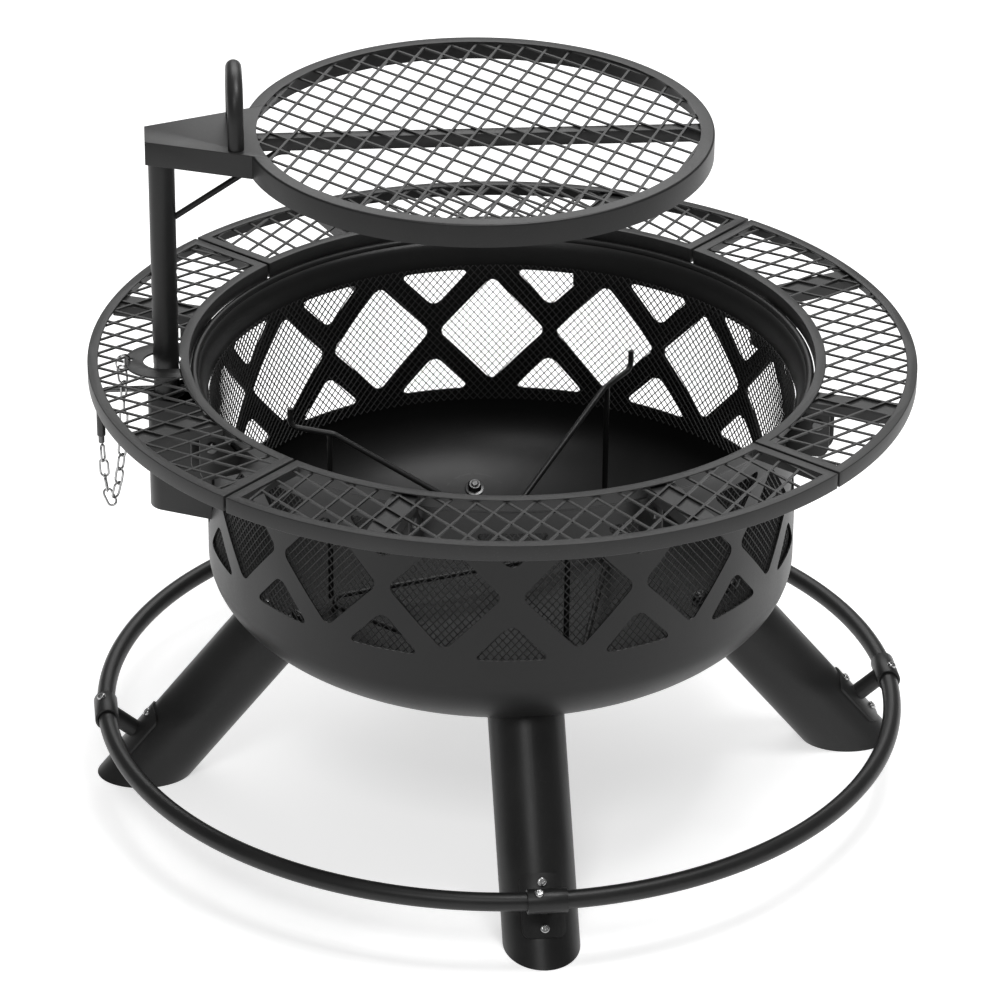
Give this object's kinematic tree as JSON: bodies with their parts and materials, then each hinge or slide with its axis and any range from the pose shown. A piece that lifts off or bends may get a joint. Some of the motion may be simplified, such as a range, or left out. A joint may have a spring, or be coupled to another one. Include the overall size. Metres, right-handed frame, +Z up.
{
  "type": "fire pit with grate",
  "caption": "Round wood-burning fire pit: lattice-cut bowl on splayed tube legs, foot ring, mesh table round the rim and a swing-out, height-adjustable cooking grate on a post.",
  "frame": {"origin": "on the floor, under the middle of the bowl", "axes": "+Z up; the grate post stands on the -X side and the front of the pit faces -Y"},
  "size_m": [0.8226, 0.8226, 0.765],
  "materials": {
    "satin_black": "satin high-temperature paint",
    "table_black": "satin high-temperature paint",
    "bowl_black": "matt high-temperature paint",
    "screen_black": "painted expanded mesh",
    "rack_black": "matt paint",
    "zinc": "zinc plated",
    "vinyl": "dipped vinyl",
    "nylon": "moulded liner"
  },
  "bodies": {
    "pit": {"fire_bowl": "bowl_black", "spark_screen": "screen_black", "leg_front": "satin_black", "leg_right": "satin_black", "leg_back": "satin_black", "leg_left": "satin_black", "leg_bolt_front": "zinc", "leg_bolt_right": "zinc", "leg_bolt_back": "zinc", "leg_bolt_left": "zinc", "foot_ring_front_right": "satin_black", "foot_ring_right_back": "satin_black", "foot_ring_back_left": "satin_black", "foot_ring_left_front": "satin_black", "ring_bracket_front": "satin_black", "ring_bracket_right": "satin_black", "ring_bracket_back": "satin_black", "ring_bracket_left": "satin_black", "table_frame_front": "table_black", "table_frame_right": "table_black", "table_frame_back": "table_black", "table_frame_left": "table_black", "table_grille_front": "table_black", "table_grille_right": "table_black", "table_grille_back": "table_black", "table_grille_left": "table_black", "table_bar_front_a": "table_black", "table_bar_front_b": "table_black", "table_bar_right_a": "table_black", "table_bar_right_b": "table_black", "table_bar_back_a": "table_black", "table_bar_back_b": "table_black", "table_bar_left_a": "table_black", "table_bar_left_b": "table_black", "table_bracket_front_a": "satin_black", "table_bracket_front_b": "satin_black", "table_bracket_right_a": "satin_black", "table_bracket_right_b": "satin_black", "table_bracket_back_a": "satin_black", "table_bracket_back_b": "satin_black", "table_bracket_left_a": "satin_black", "table_bracket_left_b": "satin_black", "horseshoe_plate": "table_black", "post_socket": "satin_black", "socket_sleeve": "satin_black"},
    "swivel": {"post_liner": "nylon", "pin_chain": "zinc"},
    "grate": {"grate_post": "satin_black", "grate_arm": "satin_black", "grate_hoop": "satin_black", "grate_grille": "table_black", "grate_crossbar": "satin_black", "grate_handle": "satin_black", "grate_brace": "satin_black"},
    "pin": {"locking_pin": "zinc", "pin_grip": "vinyl"},
    "rack": {"rack_base": "rack_black", "rack_arm_1": "rack_black", "rack_arm_2": "rack_black", "rack_arm_3": "rack_black"}
  },
  "joints": [
    {"name": "grate_swing", "type": "hinge", "parent": "pit", "child": "swivel", "pos_m": [-0.3293, 0.00805, 0.36], "axis": [0, 0, 1], "range_deg": [-95, 95]},
    {"name": "grate_height", "type": "slide", "parent": "swivel", "child": "grate", "axis": [0, 0, 1], "range_m": [-0.1, 0.05]},
    {"name": "pin_pull", "type": "slide", "parent": "swivel", "child": "pin", "axis": [-0.9997, 0.0244, 0], "range_m": [0, 0.04]},
    {"name": "rack_lift", "type": "slide", "parent": "pit", "child": "rack", "axis": [0, 0, 1], "range_m": [0, 0.25]}
  ]
}
